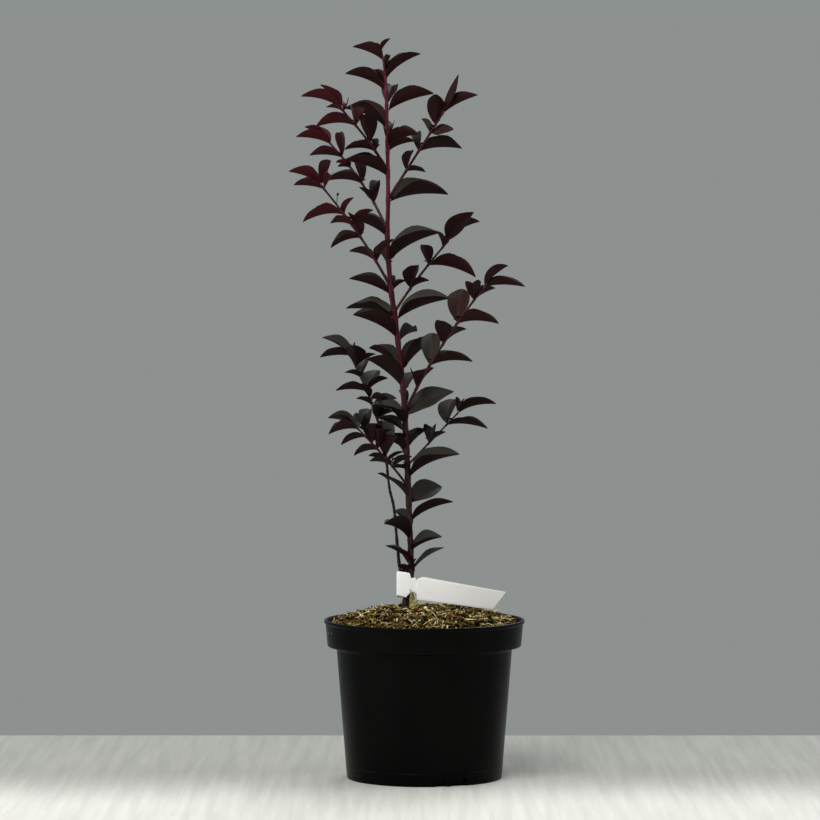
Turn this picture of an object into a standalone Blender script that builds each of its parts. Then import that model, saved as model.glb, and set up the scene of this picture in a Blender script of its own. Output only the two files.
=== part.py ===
# Potted crape myrtle with dark purple foliage, in a black nursery pot.
# The origin is the centre of the pot's flat underside. +Z is up, and -Y is the side that faces the viewer.
# A bearing is an angle about +Z: 0 points to the right (+X) and 90 points away from the viewer (+Y).

import random
from collections import namedtuple
from math import cos, pi, radians, sin

import bmesh
import bpy
from mathutils import Vector
from mathutils.bvhtree import BVHTree

MM = 0.001
GAP = 0.3 * MM

# Pot
POT_HEIGHT = 170 * MM
LIP_RADIUS = 107.5 * MM
BAND_TOP_RADIUS = 106 * MM
BAND_FOOT_RADIUS = 104 * MM
BAND_FOOT = 141.5 * MM
BODY_TOP_RADIUS = 94.2 * MM
BODY_TOP = 139.5 * MM
FOOT_RADIUS = 83.2 * MM
FOOT_EDGE = 1 * MM
WALL = 1.8 * MM
FLOOR = 2.5 * MM
LIP_DEPTH = 4 * MM
SLOTS = 3
SLOT_SIZE = (34 * MM, 12 * MM, 8 * MM)
FIRST_SLOT_BEARING = -70
TURN_STEPS = 72

# Compost
COMPOST_EDGE = 164.5 * MM
COMPOST_CROWN = 180 * MM
COMPOST_FLAT_RADIUS = 34 * MM
COMPOST_STEPS = 5

# Limbs: a line of places is smoothed with a point about every LINE_STEP
LINE_STEP = 14 * MM
SHOOT_STEPS = 20
MASS_STEM_STEPS = 10
SHOOT_TAPER = 0.35

# Trunk: height above the pot's underside and distance right of its axis, from the foot to the top
TRUNK_LINE = ((182.3, -21.1), (187, -20.6), (214, -14.6), (245, -14.8), (307, -17.1), (389, -20.9),
              (435, -24.6), (496, -31.8), (526, -36), (576, -39.4), (620, -38.7), (676, -39.5), (737, -41),
              (767, -43.6))
TRUNK_FOOT = 2 * MM
TRUNK_RADIUS_FOOT = 3 * MM
TRUNK_RADIUS_TOP = 1.25 * MM
TRUNK_TAPER = 3
FLARE = 1.4 * MM
FLARE_HEIGHT = 7 * MM

# Second stem: height, distance right of the axis and distance behind it
SECOND_LINE = ((213, -17, 1), (220.5, -25.2, 3), (244.8, -28.6, 7), (287.6, -32.5, 11), (308.5, -37.2, 12),
               (329.3, -39.7, 14))
SECOND_RADIUS_FOOT = 1.9 * MM
SECOND_RADIUS_TOP = 1.35 * MM

# Leaves
BLADE = 0.27
THICKNESS = 1.0 * MM
PETIOLE = 0.09

Leaf = namedtuple("Leaf", "bearing reach lift turn fold", defaults=(0, 58))
Shoot = namedtuple("Shoot", "height bearing reach lift bow bare radius pairs")

# Leaves that the trunk bears itself: height of the node, then the leaf
TRUNK_LEAVES = (
    (748, Leaf(10, 38, 27, 10)),
    (735, Leaf(165, 45, 19)),
    (714, Leaf(348, 51, 18, 0, 78)),
    (720, Leaf(81, 36, 22, 0, 43)),
    (695, Leaf(160, 48, 22, -15)),
    (677, Leaf(310, 50, 11)),
    (671, Leaf(34, 34, 11)),
    (645, Leaf(203, 50, 16)),
    (617, Leaf(15, 66, 8, 12)),
    (580, Leaf(170, 43, 20)),
    (554, Leaf(345, 56, 30, 26, 44)),
    (518, Leaf(175, 45, 17)),
    (522, Leaf(100, 26, 13)),
    (491, Leaf(350, 59, 23, 28, 44)),
    (492, Leaf(165, 54, 11, -12, 40)),
    (472, Leaf(214, 56, 25, -12, 50)),
    (467, Leaf(60, 40, 11, 20)),
    (440, Leaf(140, 44, 20)),
    (436, Leaf(30, 42, 35)),
    (419, Leaf(210, 44, 31)),
    (413, Leaf(66, 36, 21, 0, 45)),
    (388, Leaf(5, 52, 26, 42, 30)),
    (396, Leaf(100, 34, 18)),
    (371, Leaf(158, 35, 15, 0, 40)),
    (353, Leaf(52, 34, 19)),
    (350, Leaf(205, 30, 15, 0, 42)),
    (322, Leaf(340, 58, 26, 28, 42)),
    (300, Leaf(195, 32, 27, 0, 15)),
    (294, Leaf(40, 46, 16, 34, 30)),
    (275, Leaf(0, 46, 21, 0, 34)),
    (262, Leaf(120, 34, 22, 0, 55)),
    (255, Leaf(232, 44, 20)),
    (244, Leaf(325, 40, 16, 30, 35)),
    (232, Leaf(203, 29, 18, 0, 35)),
    (222, Leaf(5, 35, 25, 0, 15)),
    (681, Leaf(80, 36, 20, 0, 62)),
    (548, Leaf(109, 36, 18, 0, 62)),
)

# The trunk's tip above its last full leaf
TIP = Shoot(768.5, 150, 3, 12, 0, 0, 1.2, (
    (0.10, (Leaf(188, 33, 14),)),
    (0.95, (Leaf(15, 10, 13), Leaf(165, 9, 8))),
))

# Side shoots: height on the trunk, bearing, reach, lift, bow, length left bare, radius, then their leaves,
# each node with its place along the shoot from 0 to 1
SHOOTS = {
    "left_top": Shoot(650, 220, 64.5, 65.3, 0.03, 0.22, 1.6, (
        (0.33, (Leaf(105, 22, 13), Leaf(190, 34, 2))),
        (0.46, (Leaf(259, 32, 30, 0, 42), Leaf(93, 35, 14))),
        (0.74, (Leaf(178, 43, -1), Leaf(95, 33, 20, 0, 53))),
        (0.95, (Leaf(180, 19, 5), Leaf(86, 31, 10, 0, 62))),
        (1.00, (Leaf(170, 43, 13, 0, 45), Leaf(197, 23, 25, 0, 50))),
    )),
    "left_high": Shoot(586, 134, 89.7, 94.8, 0.05, 0.27, 1.7, (
        (0.32, (Leaf(215, 20, 17, 0, 25), Leaf(80, 26, 24, 0, 62))),
        (0.54, (Leaf(170, 40, 3), Leaf(260, 33, 26, 0, 59))),
        (0.72, (Leaf(150, 19, 6), Leaf(215, 17, 1))),
        (0.84, (Leaf(190, 36, 2, -15), Leaf(264, 26, 26, 0, 60))),
        (0.99, (Leaf(180, 38, 8), Leaf(155, 32, 19))),
    )),
    "left_middle": Shoot(525, 217, 91.4, 108.8, 0.03, 0.22, 1.6, (
        (0.28, (Leaf(160, 31, 11), Leaf(330, 22, 24))),
        (0.52, (Leaf(180, 32, -11, -20), Leaf(225, 19, 27, 0, 28))),
        (0.64, (Leaf(150, 27, 2), Leaf(20, 24, 16))),
        (0.74, (Leaf(185, 44, -8), Leaf(330, 12, 18))),
        (0.97, (Leaf(195, 33, 4), Leaf(284, 33, 14, 0, 62))),
        (1.00, (Leaf(165, 36, 15), Leaf(75, 35, 27, 0, 62))),
    )),
    "left_low": Shoot(312, 229, 81.9, 66.1, 0.02, 0.28, 1.4, (
        (0.37, (Leaf(190, 25, 6, -30, 35), Leaf(340, 22, 11))),
        (0.52, (Leaf(95, 35, 38, 0, 41), Leaf(288, 36, 25, 0, 52))),
        (0.66, (Leaf(160, 27, -7), Leaf(269, 34, 24, 0, 48))),
        (0.77, (Leaf(280, 26, 22, 0, 30), Leaf(15, 22, 14))),
        (0.87, (Leaf(185, 26, -9), Leaf(83, 36, 27, 0, 62))),
        (0.99, (Leaf(165, 33, 11, -30), Leaf(205, 34, -5), Leaf(80, 35, 10, 0, 62))),
    )),
    "right_top": Shoot(620, 319, 77.8, 91.3, 0, 0.19, 1.6, (
        (0.37, (Leaf(286, 29, 21, 0, 51), Leaf(0, 21, -1))),
        (0.60, (Leaf(0, 46, 3), Leaf(100, 36, 18, 0, 62))),
        (0.79, (Leaf(338, 27, 4, 52, 15), Leaf(130, 14, 16))),
        (0.87, (Leaf(270, 29, 32, 0, 43), Leaf(93, 35, 26, 0, 49))),
        (0.99, (Leaf(0, 37, 19, 0, 76), Leaf(12, 17, 41, 180, 40))),
    )),
    "right_high": Shoot(499, 41, 77.6, 76.9, 0.02, 0.28, 1.6, (
        (0.35, (Leaf(285, 35, 26, 0, 48), Leaf(20, 22, 9))),
        (0.68, (Leaf(350, 52, -13, 4), Leaf(254, 23, 22, 0, 40), Leaf(93, 30, 14, 0, 55))),
        (0.91, (Leaf(150, 8, 18), Leaf(40, 16, 13))),
        (0.98, (Leaf(330, 33, 32, -46, 22), Leaf(22, 38, 22))),
    )),
    "right_middle": Shoot(392, 325, 102.6, 135.4, 0.03, 0.16, 1.7, (
        (0.21, (Leaf(264, 36, 19, 0, 52), Leaf(20, 20, 22))),
        (0.40, (Leaf(85, 35, 34, 0, 41), Leaf(10, 47, 4, 0, 45))),
        (0.57, (Leaf(266, 34, 26, 0, 34), Leaf(25, 28, 16, 30))),
        (0.73, (Leaf(350, 45, 0, 12), Leaf(78, 36, 36, 0, 42))),
        (0.90, (Leaf(267, 35, 19, 0, 52), Leaf(30, 27, 13))),
        (1.00, (Leaf(355, 43, 0), Leaf(28, 29, 22, 30))),
    )),
    "right_low": Shoot(335, 46, 78.7, 53.7, 0, 0.38, 1.3, (
        (0.47, (Leaf(276, 36, 19, 0, 50), Leaf(20, 20, 12))),
        (0.81, (Leaf(350, 45, -4, 0, 45), Leaf(78, 35, 26, 0, 48))),
        (1.00, (Leaf(5, 42, 10, 0, 45), Leaf(276, 27, 14, 0, 62))),
    )),
}

# The second stem's leafy end, which grows on from the last of its places
SECOND_END = Shoot(329, 155, 44.4, 122.8, 0.055, 0, 1.45, (
    (0.07, (Leaf(10, 19, 12, 0, 40), Leaf(190, 20, 8))),
    (0.21, (Leaf(262, 16, 22, 0, 15), Leaf(100, 26, 18))),
    (0.34, (Leaf(30, 22, 14, 0, 45), Leaf(200, 26, 8, 0, 50))),
    (0.47, (Leaf(283, 17, 20, 0, 12), Leaf(15, 25, 10, 0, 40))),
    (0.59, (Leaf(345, 27, 8, 30, 30), Leaf(190, 18, 8))),
    (0.65, (Leaf(335, 27, -6, -20, 40), Leaf(215, 20, 16, 0, 30))),
    (0.71, (Leaf(72, 36, 22, 0, 27), Leaf(185, 34, 1), Leaf(20, 24, 14))),
    (0.82, (Leaf(178, 18, 6), Leaf(82, 36, 22, 0, 48))),
    (0.91, (Leaf(264, 30, 24, 0, 22), Leaf(350, 22, 14))),
    (1.00, (Leaf(190, 33, -2), Leaf(168, 31, 19, -35), Leaf(78, 24, 8, 0, 62))),
))

# Plant tag: a plastic strip that wraps round the trunk and lies out to the right.
# Each row is a place right of the trunk's axis, a place behind it, and the strip's lower and upper edge.
TAG_THICKNESS = 0.5 * MM
TAG_HEIGHT = 200 * MM
TAG_STRIP = ((5, 6, 191, 216), (-4, 6.6, 192, 217), (-10.5, 3, 193.5, 218.5), (-12.4, -1.5, 195, 220.5),
             (-10.6, -4.8, 196, 222), (-2.5, -6.8, 194, 221), (1.6, -7.4, 198.5, 220),
             (3.3, -7.5, 200.3, 214.6), (7.3, -7.8, 199.5, 215.5), (9.6, -8.4, 197.5, 210.2),
             (12, -9.4, 191.8, 212.6), (15.7, -10.5, 191.2, 216.3), (90.6, -16, 181.6, 203.2),
             (104, -16.8, 200.2, 200.9))

COLOURS = {
    "pot": ((0.012, 0.012, 0.013), 0.35),
    "compost": ((0.11, 0.075, 0.035), 0.95),
    "bark": ((0.07, 0.025, 0.02), 0.7),
    "young_bark": ((0.16, 0.012, 0.035), 0.5),
    "leaf": ((0.03, 0.014, 0.014), 0.5),
    "tag": ((0.8, 0.8, 0.8), 0.4),
}


def clear_scene():
    for obj in list(bpy.data.objects):
        bpy.data.objects.remove(obj, do_unlink=True)


def collection(name):
    made = bpy.data.collections.new(name)
    bpy.context.scene.collection.children.link(made)
    return made


def material(name):
    colour, roughness = COLOURS[name]
    made = bpy.data.materials.new(name)
    made.use_nodes = True
    shader = made.node_tree.nodes["Principled BSDF"]
    shader.inputs["Base Color"].default_value = (*colour, 1)
    shader.inputs["Roughness"].default_value = roughness
    shader.inputs["Metallic"].default_value = 0
    return made


def mesh_object(name, points, faces, edges=()):
    mesh = bpy.data.meshes.new(name)
    mesh.from_pydata([tuple(p) for p in points], edges, faces)
    obj = bpy.data.objects.new(name, mesh)
    bpy.context.scene.collection.objects.link(obj)
    return obj


def move_to(obj, where):
    for owner in list(obj.users_collection):
        owner.objects.unlink(obj)
    where.objects.link(obj)


def tree_of(obj):
    """A search tree of an object's faces as its modifiers leave them."""
    mesh = obj.evaluated_get(bpy.context.evaluated_depsgraph_get()).to_mesh()
    return BVHTree.FromPolygons([obj.matrix_world @ v.co for v in mesh.vertices],
                                [tuple(p.vertices) for p in mesh.polygons])


def finish(obj, name, slot):
    """Gives a finished piece its name and material, and puts it with the other parts."""
    obj.name = name
    obj.data.name = name
    obj.data.materials.clear()
    obj.data.materials.append(MATERIALS[slot])
    move_to(obj, PARTS)
    bpy.context.view_layer.update()
    BUILT[name] = tree_of(obj)


def applied(obj):
    """Replaces an object by a plain mesh of what its curve or modifiers give, with its loose caps welded."""
    bpy.context.view_layer.update()
    evaluated = obj.evaluated_get(bpy.context.evaluated_depsgraph_get())
    mesh = bpy.data.meshes.new_from_object(evaluated)
    made = bpy.data.objects.new(obj.name, mesh)
    made.matrix_world = obj.matrix_world.copy()
    bpy.context.scene.collection.objects.link(made)
    bpy.data.objects.remove(obj, do_unlink=True)
    bm = bmesh.new()
    bm.from_mesh(mesh)
    bmesh.ops.remove_doubles(bm, verts=bm.verts, dist=0.001 * MM)
    bm.to_mesh(mesh)
    bm.free()
    return made


def hide_cutter(cutter):
    cutter.hide_render = True
    cutter.display_type = "WIRE"
    move_to(cutter, CUTTERS)


def add_cut(obj, cutter):
    """Takes the cutter's shape out of an object."""
    modifier = obj.modifiers.new("cut", "BOOLEAN")
    modifier.operation = "DIFFERENCE"
    modifier.object = cutter


def cut(obj, cutter):
    add_cut(obj, cutter)
    return applied(obj)


def turned(name, profile):
    """A solid of revolution about +Z from (radius, height) points that run down its outer side."""
    points = [(radius, 0, height) for radius, height in profile]
    edges = [(i, i + 1) for i in range(len(points) - 1)]
    obj = mesh_object(name, points, [], edges)
    screw = obj.modifiers.new("turn", "SCREW")
    screw.steps = TURN_STEPS
    screw.render_steps = TURN_STEPS
    screw.use_merge_vertices = True
    screw.merge_threshold = 0.01 * MM
    return obj


def direction(bearing):
    return Vector((cos(radians(bearing)), sin(radians(bearing)), 0))


def arch(base, bearing, reach, lift, bow, count):
    """A limb's or a midrib's points: a quadratic curve whose start is steeper than the line to its tip."""
    out = direction(bearing)
    chord = out * reach + Vector((0, 0, lift))
    upward = Vector((0, 0, reach)) - out * lift
    handle = base + chord * 0.4 + upward * 2 * bow
    tip = base + chord
    points = []
    for i in range(count + 1):
        t = i / count
        points.append(base * (1 - t) ** 2 + handle * 2 * t * (1 - t) + tip * t * t)
    return points


def smooth_line(places):
    """A smooth line through a row of places, with a point about every LINE_STEP."""
    line = []
    for i, (start, end) in enumerate(zip(places, places[1:])):
        before = places[max(i - 1, 0)]
        after = places[min(i + 2, len(places) - 1)]
        pieces = max(2, round((end - start).length / LINE_STEP))
        for k in range(pieces):
            t = k / pieces
            line.append(0.5 * (2 * start + (end - before) * t
                               + (2 * before - 5 * start + 4 * end - after) * t * t
                               + (3 * start - before - 3 * end + after) * t ** 3))
    line.append(places[-1])
    return line


def at(points, place):
    """The point and the direction of a line of points at a place from 0 to 1."""
    i = min(int(place * (len(points) - 1)), len(points) - 2)
    rest = place * (len(points) - 1) - i
    return points[i].lerp(points[i + 1], rest), (points[i + 1] - points[i]).normalized()


def length_of(points):
    return sum((b - a).length for a, b in zip(points, points[1:]))


def tube(name, points, radii, sides=1):
    """A tapered round limb along a line of points, closed at both ends."""
    curve = bpy.data.curves.new(name, "CURVE")
    curve.dimensions = "3D"
    curve.bevel_depth = 1.0
    curve.bevel_resolution = sides
    curve.use_fill_caps = True
    spline = curve.splines.new("POLY")
    spline.points.add(len(points) - 1)
    for place, point, radius in zip(spline.points, points, radii):
        place.co = (*point, 1)
        place.radius = radius
    obj = bpy.data.objects.new(name, curve)
    bpy.context.scene.collection.objects.link(obj)
    return applied(obj)


def skin(rings, tip=None):
    """The points and faces of a closed solid through four-cornered rings, with a flat or a pointed end."""
    points = [corner for ring in rings for corner in ring]
    last = 4 * (len(rings) - 1)
    faces = [(3, 2, 1, 0)]
    for start in range(0, last, 4):
        for k in range(4):
            after = (k + 1) % 4
            faces.append((start + k, start + after, start + 4 + after, start + 4 + k))
    if tip is None:
        faces.append((last, last + 1, last + 2, last + 3))
    else:
        points.append(tip)
        faces += [(last + k, last + (k + 1) % 4, len(points) - 1) for k in range(4)]
    return points, faces


def leaf_skin(base, leaf, seed, spare=0.0):
    """The points and faces of one leaf: a blade folded up along an arched midrib, on a short petiole.

    The blade's half width runs as sin(pi * place ** 1.05) ** 0.85 along it, so it is widest near its middle.
    spare makes the leaf fatter all round, to keep it clear of its neighbours.
    """
    vary = random.Random(seed)
    bow = vary.uniform(0.05, 0.10)
    width = vary.uniform(0.9, 1.1)
    fold = radians(leaf.fold + vary.uniform(-8, 8))
    turn = radians(leaf.turn + vary.uniform(-10, 10))
    midrib = arch(base, leaf.bearing, leaf.reach * MM, leaf.lift * MM, bow, 24)
    length = length_of(midrib)
    side = direction(leaf.bearing + 90)
    rings = []
    for place in (0, PETIOLE, 0.24, 0.42, 0.62, 0.82):
        centre, along = at(midrib, place)
        up = along.cross(side)
        blade = max(place - PETIOLE, 0) / (1 - PETIOLE)
        half = length * BLADE * width * sin(pi * blade ** 1.05) ** 0.85 + THICKNESS * 0.45 + spare
        across = side * cos(turn) + up * sin(turn)
        raised = up * cos(turn) - side * sin(turn)
        thick = raised * (THICKNESS / 2 + spare)
        if blade == 0:
            left = centre + across * half
            right = centre - across * half
        else:
            left = centre + (raised * sin(fold) + across * cos(fold)) * half
            right = centre + (raised * sin(fold) - across * cos(fold)) * half
        rings.append((left, centre + thick, right, centre - thick))
    return skin(rings, midrib[-1])


def touched_parts(base, leaf, seed, but=()):
    """The names of the parts already built that a leaf would touch or come closer to than the gap."""
    own = BVHTree.FromPolygons(*leaf_skin(base, leaf, seed, spare=GAP))
    return [name for name, other in BUILT.items() if name not in but and own.overlap(other)]


def fused(stem, leaves):
    """Joins a stem and its leaves into one solid."""
    group = collection("group")
    for leaf in leaves:
        move_to(leaf, group)
    union = stem.modifiers.new("union", "BOOLEAN")
    union.operation = "UNION"
    union.operand_type = "COLLECTION"
    union.collection = group
    made = applied(stem)
    for leaf in list(group.objects):
        bpy.data.objects.remove(leaf, do_unlink=True)
    bpy.data.collections.remove(group)
    return made


def make_pot():
    outer = [(LIP_RADIUS - 1.5 * MM, POT_HEIGHT), (LIP_RADIUS, POT_HEIGHT - 1.2 * MM),
             (LIP_RADIUS, POT_HEIGHT - LIP_DEPTH + 0.8 * MM), (BAND_TOP_RADIUS, POT_HEIGHT - LIP_DEPTH),
             (BAND_FOOT_RADIUS, BAND_FOOT + 1 * MM), (BAND_FOOT_RADIUS - 1 * MM, BAND_FOOT),
             (BODY_TOP_RADIUS + 0.8 * MM, BODY_TOP + 0.6 * MM), (BODY_TOP_RADIUS, BODY_TOP),
             (FOOT_RADIUS, FOOT_EDGE), (FOOT_RADIUS - 1 * MM, 0), (0, 0)]
    inner = [(0, FLOOR), (FOOT_RADIUS - WALL, FLOOR), (BODY_TOP_RADIUS - WALL, BAND_FOOT + WALL),
             (BAND_FOOT_RADIUS - WALL, BAND_FOOT + WALL + 0.5 * MM), (BAND_TOP_RADIUS - WALL, POT_HEIGHT)]
    pot = turned("pot", inner + outer)
    for i in range(SLOTS):
        bearing = FIRST_SLOT_BEARING + 360 * i / SLOTS
        bpy.ops.mesh.primitive_cube_add(size=1)
        cutter = bpy.context.object
        cutter.name = f"slot_{i + 1}"
        cutter.scale = (SLOT_SIZE[1], SLOT_SIZE[0], SLOT_SIZE[2])
        cutter.location = direction(bearing) * (FOOT_RADIUS + 1 * MM)
        cutter.location.z = SLOT_SIZE[2] / 2 - GAP
        cutter.rotation_euler.z = radians(bearing)
        hide_cutter(cutter)
        add_cut(pot, cutter)
    finish(pot, "pot", "pot")


def make_compost():
    """The compost fills the pot and rises in a low mound, flat where the trunk stands."""
    band_radius = BAND_FOOT_RADIUS - WALL - GAP
    slope = (BAND_TOP_RADIUS - BAND_FOOT_RADIUS) / (POT_HEIGHT - BAND_FOOT)
    edge = band_radius + (COMPOST_EDGE - BAND_FOOT) * slope
    profile = [(0, COMPOST_CROWN), (COMPOST_FLAT_RADIUS, COMPOST_CROWN)]
    for i in range(1, COMPOST_STEPS + 1):
        out = i / COMPOST_STEPS
        radius = COMPOST_FLAT_RADIUS + (edge - COMPOST_FLAT_RADIUS) * out
        profile.append((radius, COMPOST_CROWN - (COMPOST_CROWN - COMPOST_EDGE) * out ** 1.6))
    profile += [(band_radius, BAND_FOOT + WALL + 0.5 * MM + GAP),
                (BODY_TOP_RADIUS - WALL - GAP, BAND_FOOT + WALL + GAP),
                (FOOT_RADIUS - WALL - GAP, FLOOR + GAP), (0, FLOOR + GAP)]
    finish(turned("compost", profile), "compost", "compost")


def trunk_line():
    """The trunk's line: upright at its foot, so that it is cut off level there, then through its places."""
    places = [Vector((x * MM, 0, z * MM)) for z, x in TRUNK_LINE]
    return [places[0] - Vector((0, 0, TRUNK_FOOT))] + smooth_line(places)


def trunk_radius(height):
    """The trunk's radius: a taper that quickens to the top, and a flare that dies away above the foot."""
    low = TRUNK[0].z
    high = TRUNK[-1].z
    rise = max(height - low, 0) / (high - low)
    taper = TRUNK_RADIUS_FOOT + (TRUNK_RADIUS_TOP - TRUNK_RADIUS_FOOT) * rise ** TRUNK_TAPER
    return taper + FLARE * 2.0 ** (-(height - low) / FLARE_HEIGHT)


def on_trunk(height):
    """The point of the trunk's line at a height in millimetres."""
    for low, high in zip(TRUNK, TRUNK[1:]):
        if low.z <= height * MM <= high.z:
            return low.lerp(high, (height * MM - low.z) / (high.z - low.z))
    return TRUNK[-1].copy()


def make_trunk():
    """Makes the trunk, and returns a cutter that is fatter by the gap, for all that grows from it."""
    trunk = tube("trunk", TRUNK, [trunk_radius(p.z) for p in TRUNK], sides=2)
    finish(trunk, "trunk", "bark")
    cutter = tube("trunk_cutter", TRUNK, [trunk_radius(p.z) + GAP for p in TRUNK], sides=2)
    hide_cutter(cutter)
    return cutter


def make_tag():
    axis = on_trunk(TAG_HEIGHT / MM)
    rings = []
    places = [Vector((axis.x + x * MM, y * MM, 0)) for x, y, low, high in TAG_STRIP]
    for i, (x, y, low, high) in enumerate(TAG_STRIP):
        along = places[min(i + 1, len(places) - 1)] - places[max(i - 1, 0)]
        half = Vector((along.y, -along.x, 0)).normalized() * TAG_THICKNESS / 2
        foot = places[i] + Vector((0, 0, low * MM))
        head = places[i] + Vector((0, 0, high * MM))
        rings.append((foot + half, foot - half, head - half, head + half))
    finish(mesh_object("plant_tag", *skin(rings)), "plant_tag", "tag")


def make_mass(name, shoot, line, start):
    """A mass of leaves: the stem from its start to its tip, with every leaf that stays clear of the rest."""
    places = [start + (1 - start) * i / MASS_STEM_STEPS for i in range(MASS_STEM_STEPS + 1)]
    radii = [shoot.radius * MM * (1 - SHOOT_TAPER * place) for place in places]
    stem = tube(name, [at(line, place)[0] for place in places], radii)
    leaves = []
    for place, nodes in shoot.pairs:
        base = at(line, place)[0]
        for k, leaf in enumerate(nodes):
            seed = f"{name} {place} {k}"
            touched = touched_parts(base, leaf, seed)
            if touched:
                print("skipped", seed, touched)
            else:
                leaves.append(mesh_object("leaf", *leaf_skin(base, leaf, seed)))
    finish(fused(stem, leaves), name, "leaf")


def make_bough(name, points, radii, trunk_cutter):
    finish(cut(tube(name, points, radii), trunk_cutter), name, "young_bark")


def make_shoot(side, shoot, trunk_cutter):
    """A side shoot: its bare lower length is the bough, and the rest carries the mass of leaves."""
    line = arch(on_trunk(shoot.height), shoot.bearing, shoot.reach * MM, shoot.lift * MM, shoot.bow, SHOOT_STEPS)
    places = [shoot.bare * i / 6 for i in range(7)]
    radii = [shoot.radius * MM * (1 - SHOOT_TAPER * place) for place in places]
    make_bough(f"bough_{side}", [at(line, place)[0] for place in places], radii, trunk_cutter)
    make_mass(f"leaves_{side}", shoot, line, shoot.bare + GAP / length_of(line))


def make_second_stem(trunk_cutter):
    """The second, thinner stem, which forks from the trunk just above the foot, and its leafy end."""
    points = smooth_line([Vector((x * MM, y * MM, z * MM)) for z, x, y in SECOND_LINE])
    count = len(points) - 1
    radii = [SECOND_RADIUS_FOOT + (SECOND_RADIUS_TOP - SECOND_RADIUS_FOOT) * i / count for i in range(count + 1)]
    make_bough("second_stem", points, radii, trunk_cutter)
    rise = (points[-1] - points[-2]).normalized()
    line = arch(points[-1] + rise * GAP, SECOND_END.bearing, SECOND_END.reach * MM, SECOND_END.lift * MM,
                SECOND_END.bow, SHOOT_STEPS)
    make_mass("leaves_second_stem", SECOND_END, line, 0)


def make_tip():
    base = TRUNK[-1] + Vector((0, 0, GAP))
    line = arch(base, TIP.bearing, TIP.reach * MM, TIP.lift * MM, TIP.bow, SHOOT_STEPS)
    make_mass("leaves_tip", TIP, line, 0)


def make_trunk_leaves(trunk_cutter):
    """The leaves that grow from the trunk itself, each a solid of its own that starts clear of the bark."""
    for i, (height, leaf) in enumerate(TRUNK_LEAVES):
        base = on_trunk(height)
        seed = f"trunk {i}"
        touched = touched_parts(base, leaf, seed, but=("trunk",))
        if touched:
            print("skipped trunk leaf", height, leaf, touched)
            continue
        blade = cut(mesh_object("leaf", *leaf_skin(base, leaf, seed)), trunk_cutter)
        finish(blade, f"trunk_leaf_{i + 1:02d}", "leaf")


clear_scene()
PARTS = collection("potted_crape_myrtle")
CUTTERS = collection("cutters")
MATERIALS = {name: material(name) for name in COLOURS}
BUILT = {}
TRUNK = trunk_line()

make_pot()
make_compost()
cutter = make_trunk()
make_tag()
make_second_stem(cutter)
for side, shoot in SHOOTS.items():
    make_shoot(side, shoot, cutter)
make_tip()
make_trunk_leaves(cutter)
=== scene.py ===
from collections import namedtuple
from math import cos, pi, radians, sin
from random import Random

import bpy
import numpy as np
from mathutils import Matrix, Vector


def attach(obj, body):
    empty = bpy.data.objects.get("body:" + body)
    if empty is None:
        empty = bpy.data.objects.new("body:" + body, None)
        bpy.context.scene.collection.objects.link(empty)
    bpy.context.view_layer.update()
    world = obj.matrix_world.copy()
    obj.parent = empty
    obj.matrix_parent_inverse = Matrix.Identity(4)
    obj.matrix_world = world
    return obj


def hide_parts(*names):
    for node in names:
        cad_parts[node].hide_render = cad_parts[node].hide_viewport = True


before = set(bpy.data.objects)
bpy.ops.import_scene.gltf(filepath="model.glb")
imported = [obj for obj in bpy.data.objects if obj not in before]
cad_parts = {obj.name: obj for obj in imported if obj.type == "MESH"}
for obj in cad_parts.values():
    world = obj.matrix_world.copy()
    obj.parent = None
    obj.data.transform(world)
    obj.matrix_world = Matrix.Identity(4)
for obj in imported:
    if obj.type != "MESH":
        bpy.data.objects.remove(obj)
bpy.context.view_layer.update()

# Lengths are in metres. +Z is up, and -Y is the side that faces the viewer.
# A bearing is an angle about +Z: 0 points to the right (+X) and 90 points away from the viewer (+Y).
MM = 0.001

Leaf = namedtuple("Leaf", "bearing reach lift turn fold", defaults=(0, 58))
Shoot = namedtuple("Shoot", "height bearing reach lift bow bare radius pairs")

# Pot
POT_HEIGHT = 170 * MM
LIP_RADIUS = 107.5 * MM
LIP_DEPTH = 4 * MM
LIP_ROUND = 1.2 * MM
BAND_TOP_RADIUS = 106 * MM
BAND_FOOT_RADIUS = 104 * MM
BAND_FOOT = 141.5 * MM
BODY_TOP_RADIUS = 94.2 * MM
BODY_TOP = 139.5 * MM
RIDGE_HEIGHT = 13.5 * MM
RIDGE = 0.12 * MM
FOOT_RADIUS = 83.2 * MM
HEEL_ROUND = 1 * MM
UNDER_RISE = 0.8 * MM
WALL = 1.8 * MM
FLOOR = 2.5 * MM
SLOTS = 3
SLOT_WIDTH = 34 * MM
SLOT_HEIGHT = 7.6 * MM
SLOT_DEPTH = 4.5 * MM
SLOT_RIB = (-6 * MM, -2 * MM)
FIRST_SLOT_BEARING = -70
POT_SIDES = 432

# Compost
COMPOST_EDGE = 164.5 * MM
COMPOST_CROWN = 180 * MM
COMPOST_FLAT_RADIUS = 34 * MM
BED_SIDES = 240

# Dry blades at the trunk's foot: distance right of the pot's axis and behind it, then their shape
DRY_BLADES = (
    (-14.5, -5, Leaf(262, 4, 26, 0, 66)),
    (-10.5, -6, Leaf(330, 6, 17, 0, 60)),
)

# Trunk: height above the pot's underside and distance right of its axis, from the foot to the top
TRUNK_LINE = ((182.3, -21.1), (187, -20.6), (214, -14.6), (245, -14.8), (307, -17.1), (389, -20.9),
              (435, -24.6), (496, -31.8), (526, -36), (576, -39.4), (620, -38.7), (676, -39.5), (737, -41),
              (767, -43.6))
TRUNK_FOOT = 2 * MM
TRUNK_RADIUS_FOOT = 3 * MM
TRUNK_RADIUS_TOP = 1.25 * MM
TRUNK_TAPER = 3
FLARE = 1.4 * MM
FLARE_HEIGHT = 7 * MM

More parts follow.
